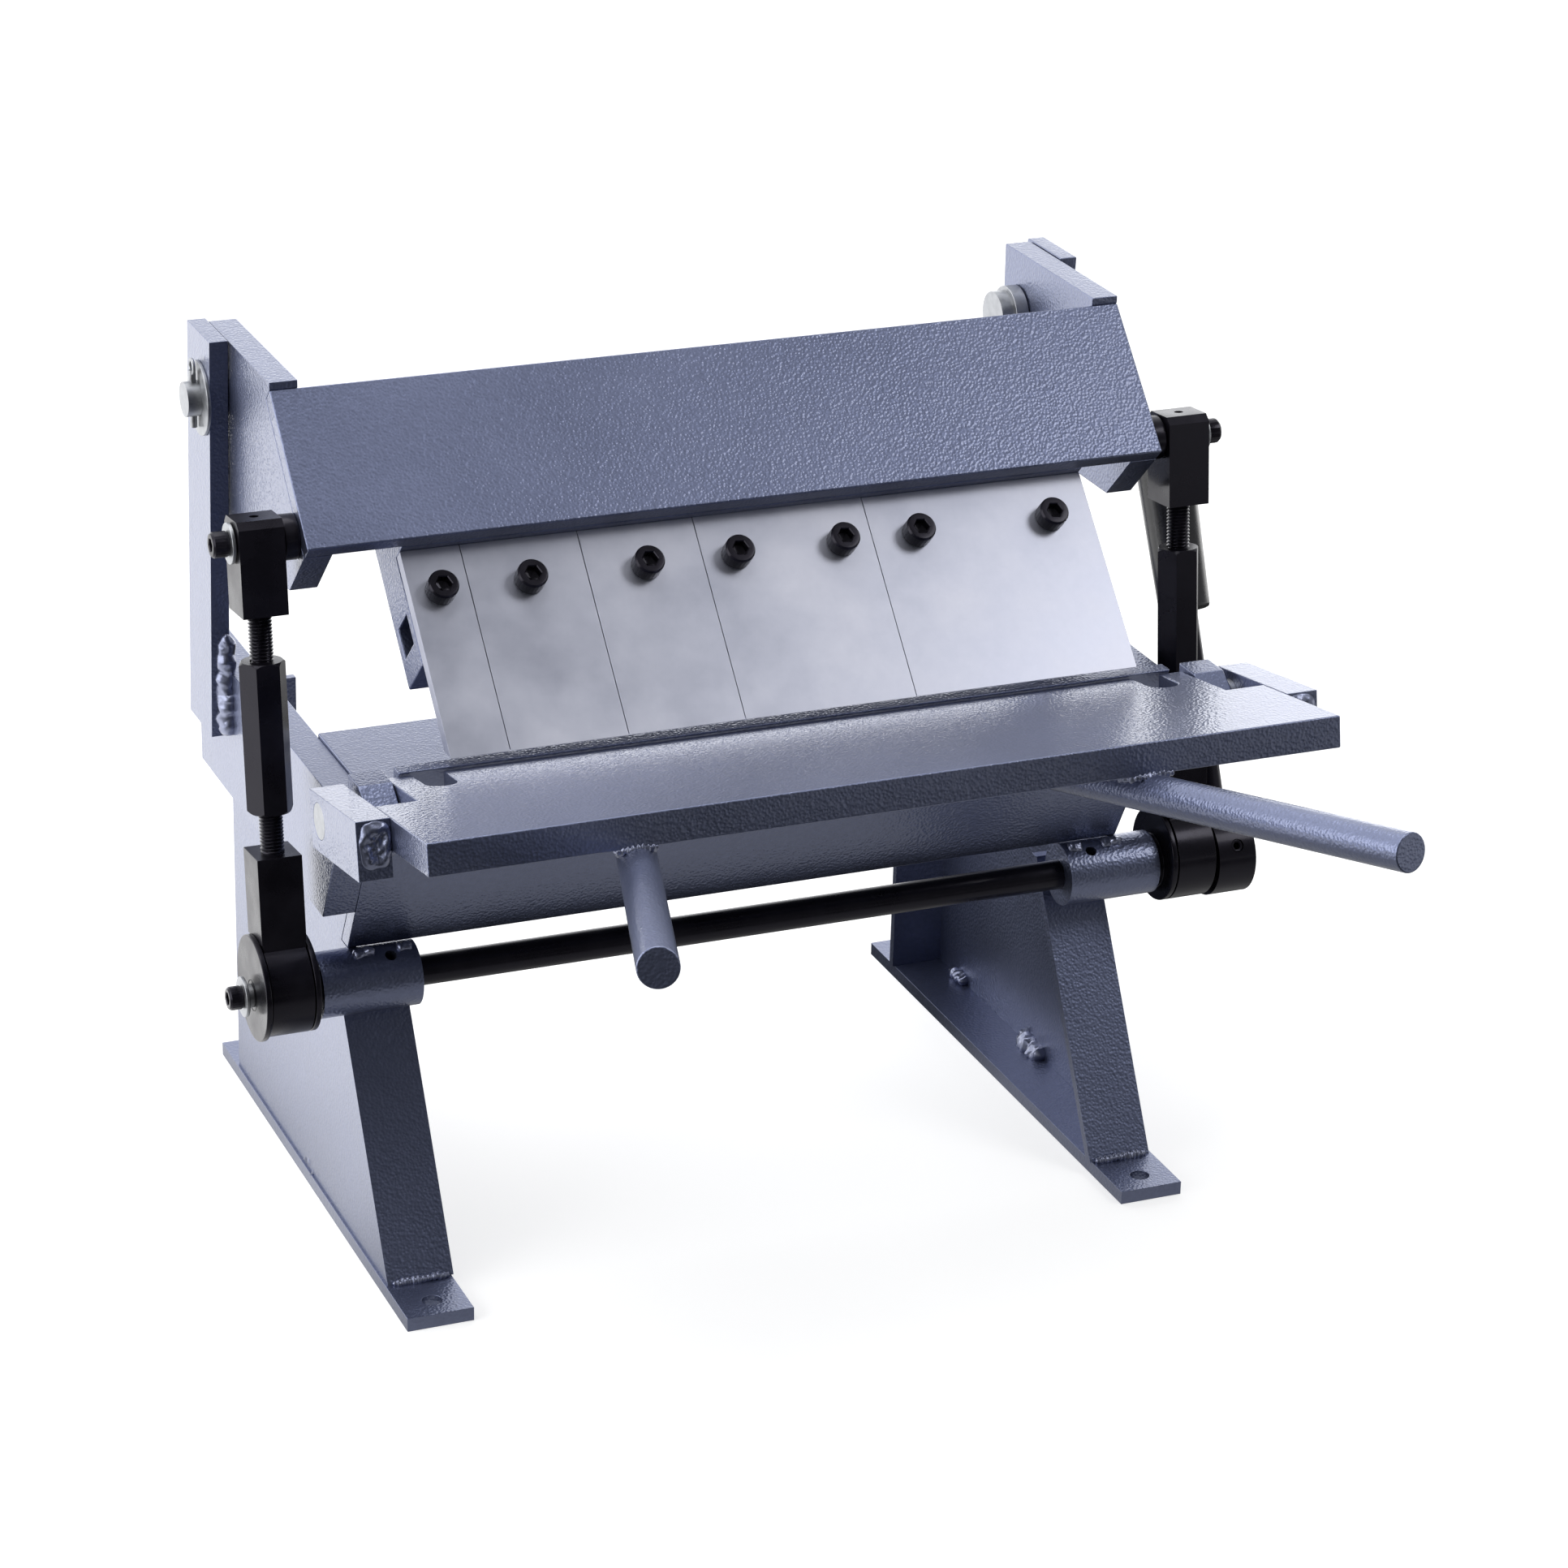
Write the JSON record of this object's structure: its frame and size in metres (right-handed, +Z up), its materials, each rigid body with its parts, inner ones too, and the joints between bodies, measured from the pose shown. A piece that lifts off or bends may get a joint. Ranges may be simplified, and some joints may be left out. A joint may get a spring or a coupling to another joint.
{
  "type": "box and pan brake",
  "caption": "Bench-top box and pan sheet metal brake with a row of removable fingers, an eccentric lever clamp and a hinged bending leaf with two handles.",
  "frame": {"origin": "on the bench at the middle of the base", "axes": "+X to the right along the bending edge, +Y to the back, +Z up"},
  "size_m": [0.476, 0.5015, 0.3735],
  "materials": {
    "paint": "blue-grey hammertone paint",
    "ground_steel": "bright ground",
    "black_oxide": "black oxide with a light oil sheen",
    "zinc": "bright zinc plate",
    "grip": "smooth black plastic"
  },
  "bodies": {
    "frame": {"foot_left": "paint", "foot_right": "paint", "stand_left": "paint", "stand_right": "paint", "side_plate_left": "paint", "side_plate_right": "paint", "column_left": "paint", "column_right": "paint", "bed_top": "paint", "bed_front": "paint", "housing_left": "paint", "housing_right": "paint", "pivot_pins": "zinc", "pivot_washers": "zinc", "cotter_pins": "zinc", "pivot_collars": "zinc"},
    "clamp": {"arm_left": "paint", "arm_right": "paint", "clamp_beam": "paint", "backing_bar": "paint", "finger_1": "ground_steel", "finger_2": "ground_steel", "finger_3": "ground_steel", "finger_4": "ground_steel", "finger_5": "ground_steel", "finger_screws": "black_oxide", "link_bosses": "paint", "link_screws": "black_oxide", "link_washers": "zinc"},
    "leaf": {"leaf_plate": "paint", "cheek_left": "paint", "cheek_right": "paint", "hinge_pins": "zinc", "handle_left": "paint", "handle_right": "paint"},
    "cam": {"cam_shaft": "black_oxide", "eccentric_left": "black_oxide", "eccentric_right": "black_oxide", "end_screw": "black_oxide", "end_washer": "zinc", "lever_hub": "black_oxide", "hub_screw": "black_oxide", "lever_bar": "black_oxide", "lever_grip": "grip"},
    "link_left": {"link_block_left": "black_oxide", "upper_stud_left": "black_oxide", "lower_stud_left": "black_oxide", "strap_left": "black_oxide"},
    "link_right": {"link_block_right": "black_oxide", "upper_stud_right": "black_oxide", "lower_stud_right": "black_oxide", "strap_right": "black_oxide"},
    "nut_left": {"coupling_nut_left": "black_oxide"},
    "nut_right": {"coupling_nut_right": "black_oxide"}
  },
  "joints": [
    {"name": "cam_turn", "type": "hinge", "parent": "frame", "child": "cam", "pos_m": [0, -0.064, 0.1265], "axis": [1, 0, 0], "range_deg": [0, 55]},
    {"name": "clamp_pivot", "type": "hinge", "parent": "frame", "child": "clamp", "pos_m": [0, 0.0614, 0.345], "axis": [1, 0, 0], "range_deg": [0, 0.9]},
    {"name": "leaf_hinge", "type": "hinge", "parent": "frame", "child": "leaf", "pos_m": [0, -0.13, 0.2293], "axis": [-1, 0, 0], "range_deg": [-9.3, 80.7]},
    {"name": "link_swing_left", "type": "hinge", "parent": "clamp", "child": "link_left", "pos_m": [-0.207, -0.045, 0.318], "axis": [-1, 0, 0], "range_deg": [0, 1.82]},
    {"name": "link_swing_right", "type": "hinge", "parent": "clamp", "child": "link_right", "pos_m": [0.207, -0.045, 0.318], "axis": [-1, 0, 0], "range_deg": [0, 1.82]},
    {"name": "nut_turn_left", "type": "hinge", "parent": "link_left", "child": "nut_left", "pos_m": [-0.207, -0.05323, 0.23641], "axis": [0, 0.1004, 0.9949], "continuous": true},
    {"name": "nut_turn_right", "type": "hinge", "parent": "link_right", "child": "nut_right", "pos_m": [0.207, -0.05323, 0.23641], "axis": [0, 0.1004, 0.9949], "continuous": true}
  ],
  "couplings": [
    {"joint": "clamp_pivot", "follows": "cam_turn", "ratio": 0.01636},
    {"joint": "link_swing_left", "follows": "cam_turn", "ratio": 0.03309},
    {"joint": "link_swing_right", "follows": "cam_turn", "ratio": 0.03309}
  ]
}
